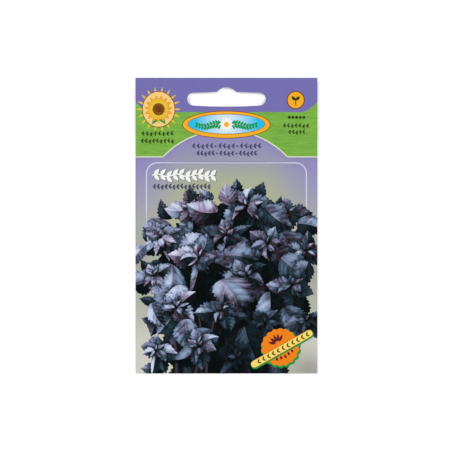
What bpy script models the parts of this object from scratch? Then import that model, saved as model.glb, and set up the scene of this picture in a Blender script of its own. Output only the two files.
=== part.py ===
"""A flat seed packet: two printed paper sheets sealed to each other round the rim, with a hang slot
through the header and a small charge of seeds inside. It lies on its back, print up.

Metres, +Z up. The origin is the middle of the footprint, on the surface that the packet lies on.
+X runs across the print, +Y runs up the print towards the hang slot.
"""

import math
import random

import bmesh
import bpy
from mathutils import Euler, Vector

MM = 0.001

# The sheets
PACKET_WIDTH = 80 * MM
PACKET_HEIGHT = 130 * MM
PAPER = 0.15 * MM
SEAL_GAP = 0.05 * MM
SIDE_SEAL = 5 * MM
FOOT_SEAL = 6 * MM
HEADER = 24 * MM

# How the pocket swells, and how the packet lies on it
FRONT_SWELL = 2.6 * MM
BACK_SWELL = 1.5 * MM
HEADER_LIFT = 0.9 * MM
FOOT_LIFT = 0.55 * MM
SWELL_POWER = 2.6
SWELL_LOW = 0.22
POCKET_COLUMNS = 14
POCKET_ROWS = 20

# The hang slot, measured down from the packet's top edge
SLOT_WIDTH = 34.5 * MM
SLOT_TOP = 6.3 * MM
SLOT_BOTTOM = 12.5 * MM
SLOT_END_RADIUS = 2.8 * MM
SLOT_BOW = 0.3 * MM
HUMP_TOP = 4.25 * MM
HUMP_RADIUS = 5.2 * MM
HUMP_FILLET = 1.5 * MM
ARC_STEPS = 8

# The charge of seeds: one layer over an oval patch, held together by a thin bed under them
CHARGE_WIDTH = 34 * MM
CHARGE_LENGTH = 24 * MM
CHARGE_Y = -22 * MM
CHARGE_CLEARANCE = 0.3 * MM
BED_THICKNESS = 0.5 * MM
BED_SIDES = 48
SEED_LENGTH = 2.2 * MM
SEED_WIDTH = 1.5 * MM
SEED_THICKNESS = 1.2 * MM
SEED_PITCH = 2.42 * MM
SEED_STRAY = 0.06 * MM
SEED_TILT = math.radians(8)
SEED_SINK = 0.35
SEED_SIDES = 8
SEED_RINGS = 5
SCATTER = 7

TOP_Y = PACKET_HEIGHT / 2
FOOT_Y = -PACKET_HEIGHT / 2
POCKET_TOP_Y = TOP_Y - HEADER
POCKET_FOOT_Y = FOOT_Y + FOOT_SEAL
POCKET_MID_Y = (POCKET_TOP_Y + POCKET_FOOT_Y) / 2
POCKET_HALF_HEIGHT = (POCKET_TOP_Y - POCKET_FOOT_Y) / 2
POCKET_HALF_WIDTH = PACKET_WIDTH / 2 - SIDE_SEAL


def clear_scene():
    for obj in list(bpy.data.objects):
        bpy.data.objects.remove(obj)


def new_collection(name):
    collection = bpy.data.collections.new(name)
    bpy.context.scene.collection.children.link(collection)
    return collection


def paint(name, colour, roughness):
    material = bpy.data.materials.new(name)
    material.use_nodes = True
    shader = material.node_tree.nodes["Principled BSDF"]
    shader.inputs["Base Color"].default_value = (*colour, 1)
    shader.inputs["Roughness"].default_value = roughness
    shader.inputs["Metallic"].default_value = 0
    return material


def add_object(name, mesh, material, collection):
    obj = bpy.data.objects.new(name, mesh)
    obj.data.materials.append(material)
    collection.objects.link(obj)
    return obj


# The form of the two sheets


def swell(x, y):
    """How far the pocket is blown up at a point, from 0 on the seals to 1 in its middle."""
    across = min(1, abs(x) / POCKET_HALF_WIDTH)
    along = max(-1, min(1, (y - POCKET_MID_Y) / POCKET_HALF_HEIGHT))
    dome = (1 - across**SWELL_POWER) * (1 - abs(along) ** SWELL_POWER)
    return dome * (1 - SWELL_LOW * along) / (1 + SWELL_LOW)


def lift(y):
    """Height of the back sheet's sealed rim: level under the header, and a little lower at the foot."""
    share = max(0, min(1, (POCKET_TOP_Y - y) / (POCKET_TOP_Y - FOOT_Y)))
    eased = share * share * (3 - 2 * share)
    return HEADER_LIFT + (FOOT_LIFT - HEADER_LIFT) * eased


def back_outer(x, y):
    """Underside of the back sheet, flattened where it rests."""
    return max(0, lift(y) - BACK_SWELL * swell(x, y))


def front_inner(x, y):
    return lift(y) + PAPER + SEAL_GAP + FRONT_SWELL * swell(x, y)


def eased_lines(low, high, count):
    """Lines from low to high that crowd towards both ends, where the sheets curve most."""
    middle, half = (low + high) / 2, (high - low) / 2
    return [middle - half * math.cos(math.pi * i / count) for i in range(count + 1)]


def sheet(name, height_at, material, collection):
    """A sheet of paper: a grid lifted to height_at, then given its thickness upwards."""
    half = PACKET_WIDTH / 2
    columns = [-half, *eased_lines(-POCKET_HALF_WIDTH, POCKET_HALF_WIDTH, POCKET_COLUMNS), half]
    rows = [FOOT_Y, *eased_lines(POCKET_FOOT_Y, POCKET_TOP_Y, POCKET_ROWS), TOP_Y]
    shape = bmesh.new()
    bmesh.ops.create_grid(shape, x_segments=len(columns) - 1, y_segments=len(rows) - 1, size=0.5)
    for vertex in shape.verts:
        column = round((vertex.co.x + 0.5) * (len(columns) - 1))
        row = round((vertex.co.y + 0.5) * (len(rows) - 1))
        x, y = columns[column], rows[row]
        vertex.co = (x, y, height_at(x, y))
    mesh = bpy.data.meshes.new(name)
    shape.to_mesh(mesh)
    shape.free()
    mesh.shade_smooth()
    obj = add_object(name, mesh, material, collection)
    solidify = obj.modifiers.new("paper thickness", "SOLIDIFY")
    solidify.thickness = PAPER
    solidify.offset = 1
    return obj


# The hang slot


def arc(centre, radius, start, end, steps=ARC_STEPS):
    """Points on an arc from start to end, in degrees, both ends included."""
    points = []
    for i in range(steps + 1):
        angle = math.radians(start + (end - start) * i / steps)
        points.append((centre[0] + radius * math.cos(angle), centre[1] + radius * math.sin(angle)))
    return points


def slot_half_outline():
    """The slot's right half from the foot of its middle to the top of its hump."""
    top, bottom = TOP_Y - SLOT_TOP, TOP_Y - SLOT_BOTTOM
    end_x = SLOT_WIDTH / 2 - SLOT_END_RADIUS
    end_y = (top + bottom) / 2
    end = arc((end_x, end_y), SLOT_END_RADIUS, -90, 90)
    hump_y = TOP_Y - HUMP_TOP - HUMP_RADIUS
    reach = HUMP_RADIUS + HUMP_FILLET
    fillet_y = top + HUMP_FILLET
    fillet_x = math.sqrt(reach**2 - (fillet_y - hump_y) ** 2)
    lean = math.degrees(math.atan2(fillet_y - hump_y, fillet_x))
    fillet = arc((fillet_x, fillet_y), HUMP_FILLET, 270, 180 + lean, ARC_STEPS // 2)
    hump = arc((0, hump_y), HUMP_RADIUS, lean, 90)
    belly = (end_x / 2, bottom - SLOT_BOW / 4)
    return [(0, bottom - SLOT_BOW / 2), belly, *end, *fillet, *hump]


def slot_cutter(collection):
    """The slot as a mesh block that reaches past both sheets."""
    right = slot_half_outline()
    left = [(-x, y) for x, y in reversed(right[1:-1])]
    outline = right + left
    curve = bpy.data.curves.new("slot outline", "CURVE")
    curve.dimensions = "2D"
    curve.fill_mode = "BOTH"
    curve.extrude = 4 * HEADER_LIFT
    spline = curve.splines.new("POLY")
    spline.points.add(len(outline) - 1)
    for point, (x, y) in zip(spline.points, outline):
        point.co = (x, y, 0, 1)
    spline.use_cyclic_u = True
    drawn = bpy.data.objects.new("slot outline", curve)
    collection.objects.link(drawn)
    bpy.context.view_layer.update()
    graph = bpy.context.evaluated_depsgraph_get()
    mesh = bpy.data.meshes.new_from_object(drawn.evaluated_get(graph))
    shape = bmesh.new()
    shape.from_mesh(mesh)
    bmesh.ops.remove_doubles(shape, verts=shape.verts, dist=0.001 * MM)
    bmesh.ops.recalc_face_normals(shape, faces=shape.faces)
    shape.to_mesh(mesh)
    shape.free()
    cutter = bpy.data.objects.new("slot cutter", mesh)
    cutter.matrix_world = drawn.matrix_world
    cutter.hide_render = True
    cutter.display_type = "WIRE"
    collection.objects.link(cutter)
    bpy.data.objects.remove(drawn)
    return cutter


def punch(obj, cutter):
    cut = obj.modifiers.new("hang slot", "BOOLEAN")
    cut.operation = "DIFFERENCE"
    cut.object = cutter


# The seeds


def seed_places():
    """(x, y) of each seed: staggered rows over the oval, each seed strayed a little."""
    places = []
    row_pitch = SEED_PITCH * math.sqrt(3) / 2
    rows = int(CHARGE_LENGTH / 2 / row_pitch)
    columns = int(CHARGE_WIDTH / 2 / SEED_PITCH) + 1
    for row in range(-rows, rows + 1):
        for column in range(-columns, columns + 1):
            x = (column + 0.5 * (row % 2)) * SEED_PITCH
            y = row * row_pitch
            reach_x = CHARGE_WIDTH / 2 - SEED_LENGTH / 2
            reach_y = CHARGE_LENGTH / 2 - SEED_LENGTH / 2
            if math.hypot(x / reach_x, y / reach_y) < 1:
                stray_x = random.uniform(-SEED_STRAY, SEED_STRAY)
                stray_y = random.uniform(-SEED_STRAY, SEED_STRAY)
                places.append((x + stray_x, CHARGE_Y + y + stray_y))
    return places


def mesh_of(name, shape):
    mesh = bpy.data.meshes.new(name)
    shape.to_mesh(mesh)
    shape.free()
    return mesh


def seed_mesh(x, y, bed_top):
    """One seed as a low ellipsoid, turned any way and sunk into the bed."""
    tilts = (random.uniform(-SEED_TILT, SEED_TILT), random.uniform(-SEED_TILT, SEED_TILT))
    turn = Euler((*tilts, random.uniform(0, math.pi))).to_matrix()
    size = Vector((SEED_LENGTH, SEED_WIDTH, SEED_THICKNESS))
    centre = Vector((x, y, bed_top + (0.5 - SEED_SINK) * SEED_THICKNESS))
    shape = bmesh.new()
    bmesh.ops.create_uvsphere(shape, u_segments=SEED_SIDES, v_segments=SEED_RINGS, radius=0.5)
    for vertex in shape.verts:
        vertex.co = turn @ (vertex.co * size) + centre
    return mesh_of("seed", shape)


def bed_mesh(floor):
    shape = bmesh.new()
    bmesh.ops.create_cone(
        shape, cap_ends=True, segments=BED_SIDES, radius1=0.5, radius2=0.5, depth=BED_THICKNESS
    )
    for vertex in shape.verts:
        across, along, up = vertex.co
        vertex.co = (
            across * CHARGE_WIDTH, CHARGE_Y + along * CHARGE_LENGTH, floor + BED_THICKNESS / 2 + up
        )
    return mesh_of("seeds", shape)


def make_charge(material, collection, loose):
    """The bed with all the seeds joined to it, as one body."""
    random.seed(SCATTER)
    floor = back_outer(0, CHARGE_Y) + PAPER + CHARGE_CLEARANCE
    charge = add_object("seeds", bed_mesh(floor), material, collection)
    for x, y in seed_places():
        loose.objects.link(bpy.data.objects.new("seed", seed_mesh(x, y, floor + BED_THICKNESS)))
    join = charge.modifiers.new("seeds on the bed", "BOOLEAN")
    join.operation = "UNION"
    join.operand_type = "COLLECTION"
    join.collection = loose
    bpy.context.view_layer.update()
    graph = bpy.context.evaluated_depsgraph_get()
    joined = bpy.data.meshes.new_from_object(charge.evaluated_get(graph))
    charge.modifiers.clear()
    charge.data = joined
    for seed in list(loose.objects):
        bpy.data.objects.remove(seed)
    bpy.data.collections.remove(loose)
    return charge


def main():
    clear_scene()
    packet = new_collection("seed packet")
    cutters = new_collection("cutters")
    print_front = paint("front print", (0.16, 0.14, 0.23), 0.42)
    print_back = paint("back print", (0.70, 0.68, 0.80), 0.5)
    seed_coat = paint("seed coat", (0.028, 0.022, 0.018), 0.6)

    back = sheet("back_panel", back_outer, print_back, packet)
    front = sheet("front_panel", front_inner, print_front, packet)
    cutter = slot_cutter(cutters)
    punch(back, cutter)
    punch(front, cutter)
    make_charge(seed_coat, packet, new_collection("loose seeds"))


main()
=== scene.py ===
# %% [markdown]
# # Dressing a sealed seed packet
# A seed packet is two sheets of coated paper, printed first and then sealed to each other round the
# rim, with the seeds shut in between. The solids already have its sizes and its swollen form. This
# lesson gives them the print, the satin coating, the raw paper edge and the seeds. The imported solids
# are loaded as a frame, and everything below is placed by them.

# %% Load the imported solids
import math
import random

import bmesh
import bpy
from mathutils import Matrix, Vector, geometry, kdtree, noise


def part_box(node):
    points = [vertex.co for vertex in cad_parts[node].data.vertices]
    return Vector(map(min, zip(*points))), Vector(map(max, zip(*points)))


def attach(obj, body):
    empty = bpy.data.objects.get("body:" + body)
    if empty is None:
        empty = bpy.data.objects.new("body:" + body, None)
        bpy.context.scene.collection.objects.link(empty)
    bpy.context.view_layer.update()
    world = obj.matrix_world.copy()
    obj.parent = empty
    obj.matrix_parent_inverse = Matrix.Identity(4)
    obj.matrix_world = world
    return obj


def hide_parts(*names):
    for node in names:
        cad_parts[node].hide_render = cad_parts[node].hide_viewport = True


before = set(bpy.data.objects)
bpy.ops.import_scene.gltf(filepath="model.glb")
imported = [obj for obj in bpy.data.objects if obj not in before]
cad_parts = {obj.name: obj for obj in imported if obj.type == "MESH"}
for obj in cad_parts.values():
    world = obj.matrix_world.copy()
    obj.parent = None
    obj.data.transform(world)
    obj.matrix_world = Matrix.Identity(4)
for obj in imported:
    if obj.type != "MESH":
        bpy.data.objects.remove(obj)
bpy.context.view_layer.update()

MM = 0.001
front_low, front_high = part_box("front_panel")
WIDTH = (front_high.x - front_low.x) / MM
HEIGHT = (front_high.y - front_low.y) / MM
TOP = HEIGHT / 2
SIDE = WIDTH / 2
print(f"packet {WIDTH:.1f} by {HEIGHT:.1f} mm, {front_high.z / MM:.2f} mm thick")

# %% [markdown]
# ## Where the camera stands
# The packet was photographed from straight above, so the camera looks down on it and picture-up is
# the packet's +Y. A longish lens from half a metre keeps the packet's edges straight. The picture is
# square, and the packet sits a hair to the right of its middle, which the camera's own place gives.

# %% The camera
LENS = 100
SENSOR = 36
PICTURE_SPAN = 198.65
PRINT_HEIGHT = 1.2
AIM = (-0.19, -0.15)


def add_object(name, data):
    thing = bpy.data.objects.new(name, data)
    bpy.context.scene.collection.objects.link(thing)
    return thing


camera = bpy.data.cameras.new("camera")
camera.lens = LENS
camera.sensor_width = SENSOR
camera_height = PICTURE_SPAN * LENS / SENSOR + PRINT_HEIGHT
camera_object = add_object("camera", camera)
camera_object.location = Vector((*AIM, camera_height)) * MM
bpy.context.scene.camera = camera_object
print(f"the camera is {camera_height:.0f} mm above the table")

# %% [markdown]
# ## The form of the two sheets
# Paper sealed round its rim and filled can't stretch, so it rises steeply from the seals and then
# levels out into a low pillow. One formula gives that swelling anywhere on the packet, and both
# sheets use it: the front takes more of it, and the back is pressed flat where the packet rests. The
# numbers are those of the solids, so that each dressed sheet lies where its solid is.

# %% Heights of the sheets, in millimetres
PAPER = 0.15
SEAL_GAP = 0.05
HEADER = 24
SIDE_SEAL = 5
FOOT_SEAL = 6
FRONT_SWELL = 2.6
BACK_SWELL = 1.5
HEADER_LIFT = 0.9
FOOT_LIFT = 0.55
SWELL_POWER = 2.6
SWELL_LOW = 0.22
pocket_top = TOP - HEADER
pocket_foot = -TOP + FOOT_SEAL
pocket_middle = (pocket_top + pocket_foot) / 2
pocket_reach = (pocket_top - pocket_foot) / 2
pocket_side = SIDE - SIDE_SEAL


def swell(x, y):
    across = min(1, abs(x) / pocket_side)
    along = max(-1, min(1, (y - pocket_middle) / pocket_reach))
    dome = (1 - across**SWELL_POWER) * (1 - abs(along) ** SWELL_POWER)
    return dome * (1 - SWELL_LOW * along) / (1 + SWELL_LOW)


def lift(y):
    share = max(0, min(1, (pocket_top - y) / (pocket_top + TOP)))
    return HEADER_LIFT + (FOOT_LIFT - HEADER_LIFT) * share * share * (3 - 2 * share)


# %% [markdown]
# Where flat paper has to follow a pillow, it has a little too much length along the seals and
# gathers in shallow puckers that run away from each seal and die out. A smooth noise stretched
# across the seal makes them. They are kept to about a tenth of a millimetre, because the packet in
# the photograph is nearly flat.

# %% Puckers beside the seals
PUCKER = 0.32
PUCKER_START = 2.5
PUCKER_REACH = 9
ALONG_PUCKER = 0.04
SIDE_PUCKERS = 0.21
END_PUCKERS = 0.19


def pucker(x, y, sheet_number):
    from_side = pocket_side - abs(x)
    from_end = min(pocket_top - y, y - pocket_foot)
    inside = min(from_side, from_end)
    if inside <= 0:
        return 0
    fade = min(1, inside / PUCKER_START) ** 2 * math.exp(-inside / PUCKER_REACH)
    sides = Vector((x * ALONG_PUCKER, y * SIDE_PUCKERS, 3 * sheet_number + (x > 0)))
    ends = Vector((x * END_PUCKERS, y * ALONG_PUCKER, 9 + 3 * sheet_number + (y > pocket_middle)))
    side_share = math.exp(-from_side / PUCKER_REACH)
    end_share = math.exp(-from_end / PUCKER_REACH)
    mixed = (noise.noise(sides) * side_share + noise.noise(ends) * end_share) / (side_share + end_share)
    return PUCKER * fade * mixed


# %% [markdown]
# The front sheet's printed face stands two sheets and the seal above the lowest paper. The back's
# printed face is the lowest of all. Where its pillow would sink into the table it is pressed flat,
# and a smooth maximum rounds the line where it leaves the table.

# %% The two printed faces
BACK_PUCKER = 0.6
REST_SOFTNESS = 0.12


def front_face(x, y):
    return lift(y) + 2 * PAPER + SEAL_GAP + FRONT_SWELL * swell(x, y) + pucker(x, y, 1)


def back_face(x, y):
    free = lift(y) - BACK_SWELL * swell(x, y) - BACK_PUCKER * pucker(x, y, 2)
    return (free + math.sqrt(free * free + REST_SOFTNESS**2)) / 2


print(f"pocket {2 * pocket_side:.0f} by {2 * pocket_reach:.0f} mm")

# %% [markdown]
# ## Outlines for everything that is printed
# A print is flat shapes laid over each other. Here each shape is a closed outline in millimetres on
# the flat sheet, made by a few drawing helpers: boxes, arcs, ovals, leaves, and strokes of a pen of
# some width. Only the outlines are made here. Their ink comes later.

# %% Points and directions
def on_oval(centre, reach_x, reach_y, angle):
    return centre[0] + reach_x * math.cos(angle), centre[1] + reach_y * math.sin(angle)


def shifted(point, across, up):
    return point[0] + across, point[1] + up


def pointing(heading):
    return Vector((math.cos(heading), math.sin(heading)))


def left_of(ahead):
    return Vector((-ahead.y, ahead.x))


# %% Boxes and round outlines
def box(left, low, right, high):
    return [(left, low), (right, low), (right, high), (left, high)]


def arc(centre, radius, start, end, steps=12):
    angles = [math.radians(start + (end - start) * i / steps) for i in range(steps + 1)]
    return [on_oval(centre, radius, radius, angle) for angle in angles]


def oval(centre, reach_x, reach_y, steps=40):
    return [on_oval(centre, reach_x, reach_y, 2 * math.pi * i / steps) for i in range(steps)]


def disc(centre, radius, steps=40):
    return oval(centre, radius, radius, steps)


# %% Pen strokes and plain leaves
THINNED = 0.9
LEAF_STEPS = 6


def stroke(path, width, taper=0):
    """The outline of a pen line along a path. A taper of 1 thins its end to a tenth."""
    left, right = [], []
    for i, point in enumerate(path):
        before, after = Vector(path[max(0, i - 1)]), Vector(path[min(len(path) - 1, i + 1)])
        half = width / 2 * (1 - taper * i / (len(path) - 1) * THINNED)
        side = left_of((after - before).normalized()) * half
        left.append(tuple(Vector(point) + side))
        right.append(tuple(Vector(point) - side))
    return left[::-1] + right


def capsule(start, end, width):
    """A straight pen line with round ends."""
    lean = math.degrees(math.atan2(end.y - start.y, end.x - start.x))
    tail = arc(start, width / 2, lean + 90, lean + 270, 8)
    return tail + arc(end, width / 2, lean - 90, lean + 90, 8)


def simple_leaf(base, heading, length, width):
    """A plain pointed leaf for ornaments."""
    ahead = pointing(heading)
    one, other = [], []
    for i in range(1, LEAF_STEPS):
        share = i / LEAF_STEPS
        side = left_of(ahead) * (width / 2 * math.sin(math.pi * share**0.8))
        middle = Vector(base) + ahead * length * share
        one.append(tuple(middle - side))
        other.append(tuple(middle + side))
    return [tuple(base), *one, tuple(Vector(base) + ahead * length), *other[::-1]]


# %% [markdown]
# ## How ink is described
# The inks are chosen as they look, in screen colours, and the shader wants the share of light that
# they send back, so one helper turns one into the other. The light here is bright enough to turn a
# white table pure white, so a print takes a little off. A shape's ink is either one colour or a
# function that gives the colour at a point, which is how the soft ground behind the plant is shaded.

# %% Inks
PRINT_SHARE = 0.86


def screen_light(value):
    """The share of light that a screen value of 0 to 255 stands for."""
    return ((value / 255 + 0.055) / 1.055) ** 2.4 if value > 10 else value / 255 / 12.92


def ink(red, green, blue):
    return tuple(screen_light(value) * PRINT_SHARE for value in (red, green, blue))


def blend(one, other, share):
    share = max(0, min(1, share))
    return tuple(a + (b - a) * share for a, b in zip(one, other))


def colour_stops(*rows):
    """Colour stops from rows of a place and its red, green and blue."""
    return [(place, ink(*colour)) for place, *colour in rows]


def along_stops(stops, place):
    """The colour at a place between stops, which run downwards."""
    for (high, above), (low, below) in zip(stops, stops[1:]):
        if place >= low:
            return blend(above, below, (high - place) / (high - low))
    return stops[-1][1]


VIOLET = ink(119, 113, 178)
LEAF_GREEN = ink(123, 177, 71)
HAIRLINE = ink(234, 238, 222)
FRAME_LINE = ink(222, 219, 238)
AMBER = ink(248, 176, 42)
PALE_AMBER = ink(250, 208, 128)
YELLOW = ink(232, 200, 62)
BROWN = ink(120, 62, 24)
DARK_GREEN = ink(38, 62, 22)
DARK_VIOLET = ink(70, 66, 98)
SKY = ink(40, 190, 240)
PALE_SKY = ink(205, 232, 248)
EMERALD = ink(18, 154, 80)
WHITE = ink(246, 246, 244)
SHADOW = ink(84, 84, 92)
ORANGE = ink(242, 132, 28)
RIBBON = ink(248, 222, 112)
SEAL_GREEN = ink(34, 146, 66)
MAROON = ink(104, 34, 34)
GAP = ink(2, 7, 8)

# %% [markdown]
# ## The stack of shapes
# `layers` is the whole print, from the lowest shape to the highest. Each entry has its outline, its
# ink and, for a leaf of the plant, what the shader needs to draw the leaf's veins and sheen.

# %% Lay one shape over the rest
layers = []


def lay(outline, colour, leaf=None, texture=0):
    layers.append({"outline": outline, "colour": colour, "leaf": leaf, "texture": texture})


def colour_at(layer, x, y):
    colour = layer["colour"]
    return colour(x, y) if callable(colour) else colour


def count_shapes(last):
    print(f"{len(layers)} shapes with {last}")


# %% [markdown]
# ## Ground colours
# The sheet is violet at the top, then a green field with a lower edge that rises in an arch over
# the picture, then the picture's own ground. That ground is violet at the sides, turns grey lower
# down, and glows lime behind the plant, as an out-of-focus garden does. Two columns of stops, one
# for the sides and one for the middle, are mixed by a smooth bell across the sheet.

# %% The colours of the picture's ground, by height in millimetres
SIDE_STOPS = colour_stops(
    (40, 143, 138, 190), (26, 147, 139, 195), (16, 157, 152, 190), (8, 165, 163, 182),
    (0, 169, 171, 172), (-22, 164, 168, 160), (-39, 184, 185, 176), (-49, 206, 206, 198),
    (-66, 208, 207, 200),
)
MIDDLE_STOPS = colour_stops(
    (40, 143, 138, 190), (31, 153, 150, 180), (26, 164, 165, 170), (21, 171, 176, 156),
    (15, 175, 180, 146), (0, 178, 186, 138), (-41, 186, 190, 150), (-57, 198, 200, 172),
    (-66, 198, 200, 172),
)
BELL = 27
BELL_POWER = 6
EDGE_SHADE = 0.16
EDGE_FALL = 0.9
FOOT_SHADE = 0.42
FOOT_CORNER = (36, -64)
FOOT_SPREAD = (110, 60)

# %% The violet top, the green field and the picture's ground
GREEN_TOP = 49.9
GREEN_FOOT = 30.2
GREEN_CORNER = 7
GREEN_SWEEP = 7
GREEN_POWER = 1.7
ARCH_CENTRE = (-0.55, 4.49)
ARCH_RADIUS = 37.5
ARCH_HALF = 27.3
HAIRLINE_WIDTH = 0.42
BLEED = 2
far = SIDE + BLEED
whole_sheet = box(-far, -TOP - BLEED, far, TOP + BLEED)


def field_edge(x):
    across = x - ARCH_CENTRE[0]
    if abs(across) > ARCH_HALF:
        return GREEN_FOOT
    return ARCH_CENTRE[1] + math.sqrt(ARCH_RADIUS**2 - across**2)


def ground(x, y):
    """The picture's ground, with the edge's shade at its top and a dark corner at its right foot."""
    bell = 1 / (1 + (x / BELL) ** BELL_POWER)
    colour = blend(along_stops(SIDE_STOPS, y), along_stops(MIDDLE_STOPS, y), bell)
    under_edge = 1 - EDGE_SHADE * math.exp(-max(0, field_edge(x) - y) / EDGE_FALL)
    across = (x - FOOT_CORNER[0]) ** 2 / FOOT_SPREAD[0]
    up = (y - FOOT_CORNER[1]) ** 2 / FOOT_SPREAD[1]
    corner = 1 - FOOT_SHADE * math.exp(-(across + up))
    return tuple(v * under_edge * corner for v in colour)


def field_top():
    """The green field's upper edge, from left to right, with its corners swept up."""
    found = []
    for i in range(9):
        share = i / 8
        x = -far + (GREEN_SWEEP + BLEED) * share
        found.append((x, GREEN_TOP + GREEN_CORNER * (1 - share) ** GREEN_POWER))
    return found + [(-x, y) for x, y in reversed(found)]


arch_lean = math.degrees(math.asin(ARCH_HALF / ARCH_RADIUS))
arch_path = arc(ARCH_CENTRE, ARCH_RADIUS, 90 + arch_lean, 90 - arch_lean, 48)
edge_path = [(-far, GREEN_FOOT), *arch_path, (far, GREEN_FOOT)]
lay(whole_sheet, VIOLET)
lay([*field_top()[::-1], *edge_path], LEAF_GREEN, texture=1)
lay([*whole_sheet[:2], *edge_path[::-1]], ground)
lay(stroke(edge_path, HAIRLINE_WIDTH), HAIRLINE)
count_shapes("the ground")

# %% [markdown]
# A thin pale frame with round corners runs round the picture and fades where the plant begins.

# %% The picture's frame line
FRAME_SIDE = 35.15
FRAME_TOP = 27.6
FRAME_CORNER = 4.8
FRAME_FOOT = -1
FRAME_WIDTH = 0.43
FRAME_FADE = 9
FRAME_FAINT = 0.25
corner_x, corner_y = FRAME_SIDE - FRAME_CORNER, FRAME_TOP - FRAME_CORNER


def frame_ink(x, y):
    fade = max(0, min(1, (y - FRAME_FOOT) / FRAME_FADE))
    return blend(ground(x, y), FRAME_LINE, FRAME_FAINT + (1 - FRAME_FAINT) * fade)


frame_sides = [(-FRAME_SIDE, FRAME_FOOT + 3 * i) for i in range(8)]
frame_path = [
    *frame_sides,
    *arc((-corner_x, corner_y), FRAME_CORNER, 180, 90),
    *arc((corner_x, corner_y), FRAME_CORNER, 90, 0),
    *[(-x, y) for x, y in reversed(frame_sides)],
]
lay(stroke(frame_path, FRAME_WIDTH), frame_ink)
count_shapes("the frame line")

# %% [markdown]
# ## A basil leaf
# Purple basil has broad, glossy leaves with a toothed rim, folded a little along the midrib, so
# that one half faces the sky and shines lavender while the other stays dark. A leaf here is its own
# small frame: `s` runs from the stalk to the tip, `q` across it, both in leaf lengths. The outline
# is a smooth profile with teeth: blunt at the stalk, pointed at the tip. The shader gets `s` and
# `q`, which stay exact across a flat shape, and draws the veins from them, so that no vein needs
# geometry.

# %% Leaf outline
TOOTH = 1.45
PROFILE_LEAN = 0.74
PROFILE_BLUNT = 0.62
PROFILE_POINT = 0.45
NOTCH = 0.19
BULGE = 0.1
RIPPLE = 0.08


def leaf_profile(s):
    """Half width along a leaf, from 0 at the stalk to 1 and back to 0 at the tip."""
    if not 0 < s < 1:
        return 0
    return math.sin(math.pi * s**PROFILE_LEAN) ** (PROFILE_BLUNT + PROFILE_POINT * s)


def leaf_point(leaf, s, q):
    bent = q + 4 * leaf["bend"] * s * (1 - s)
    along, across = leaf["axes"]
    return leaf["base"] + (along * s + across * bent) * leaf["length"]


def leaf_outline(leaf):
    """Counter-clockwise from the stalk: out along the right half, back along the left one."""
    teeth = max(4, min(11, round(leaf["length"] / TOOTH)))
    halves = []
    for half_width, ripple in zip((-leaf["right"], leaf["left"]), leaf["ripples"]):
        half = []
        for tooth in range(teeth):
            bite = min(1, 0.25 + 1.2 * tooth / teeth) * random.uniform(0.5, 1.3)
            for share, factor in ((0.1, 1 - NOTCH * bite), (0.5, 1), (0.88, 1 + BULGE * bite)):
                s = (tooth + share) / teeth
                wave = 1 + RIPPLE * math.sin(8 * s + ripple)
                half.append(tuple(leaf_point(leaf, s, half_width * factor * wave * leaf_profile(s))))
        halves.append(half)
    right, left = halves
    return [tuple(leaf["base"]), *right, tuple(leaf_point(leaf, 1, 0)), *left[::-1]]


# %% [markdown]
# Light falls on the plant from the upper left. The half of a leaf that leans towards it shines, and
# so does its tip or its foot, as the leaf arches up or hangs. Both follow from the leaf's heading.
# Each leaf is then brighter or darker by its depth in the bush.

# %% One leaf of the plant
SKY_SIDE = math.radians(125)


def basil_leaf(base, heading, length, breadth, depth, fold=0.4, wine=0.5):
    """depth is 0 for a leaf at the back of the bush and 1 for one at its front."""
    along = pointing(heading)
    across = left_of(along)
    facing = math.cos(heading + math.pi / 2 - SKY_SIDE)
    lean = random.uniform(-0.2, 0.2)
    middle = random.uniform(0.38, 0.6)
    leaf = {
        "base": Vector(base),
        "axes": (along, across),
        "length": length,
        "left": breadth * random.uniform(0.8, 1.1) * (1 - 0.8 * max(0, lean)),
        "right": breadth * random.uniform(0.8, 1.1) * (1 + 0.8 * min(0, lean)),
        "bend": random.uniform(-0.14, 0.14),
        "ripples": (random.uniform(0, 6), random.uniform(0, 6)),
        "sheen": (middle + fold * facing + lean, middle - fold * facing - lean),
        "wine": max(0, min(1, wine)),
        "depth": depth,
        "droop": 0.35 * math.cos(heading - SKY_SIDE) + random.uniform(-0.35, 0.35),
        "tip_to_light": math.cos(heading - SKY_SIDE),
        "seed": random.uniform(0, 50),
    }
    lay(leaf_outline(leaf), GAP, leaf=leaf)


# %% [markdown]
# ## Growing the bush
# Basil carries its leaves in crossed pairs, so a shoot seen from above has two large leaves, two
# smaller ones across them, and a crumpled tuft in the middle. Shoots lean out of the bush, which
# shortens the leaves that point up and away. The bush is painted as a painter would: a dark gap
# shape, then leaves deep inside, then the hanging ones, then the shoots from the back row to the
# front row.

# %% A shoot
# leaves, their length as a share of the shoot's, first turn, least and most breadth
SHOOT_RINGS = [
    (2, 1.0, 0, 0.4, 0.52),
    (2, 0.86, 90, 0.38, 0.5),
    (4, 0.54, 45, 0.34, 0.46),
    (3, 0.33, 20, 0.26, 0.4),
]
TURNED_AWAY = 0.35
EDGE_ON_CHANCE = 0.1
EDGE_ON_BREADTH = 0.2


def shoot(centre, size, spin, depth, wine):
    lay(disc(centre, 0.1 * size, 12), GAP)
    for ring, (count, reach, start, narrow, broad) in enumerate(SHOOT_RINGS):
        turns = []
        for k in range(count):
            turns.append(math.radians(spin + start + 360 * k / count + random.uniform(-20, 20)))
        for heading in sorted(turns, key=lambda turn: -math.sin(turn)):
            away = 1 - TURNED_AWAY * max(0, math.sin(heading))
            length = size * reach * away * random.uniform(0.82, 1.12)
            root = Vector(centre) + pointing(heading) * size * 0.05
            tone = depth * random.uniform(0.5, 1.3)
            tint = wine + 0.15 * ring + random.uniform(-0.45, 0.2)
            edge_on = random.random() < EDGE_ON_CHANCE
            breadth = EDGE_ON_BREADTH if edge_on else random.uniform(narrow, broad)
            basil_leaf(root, heading, length, breadth, tone, wine=tint)


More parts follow.
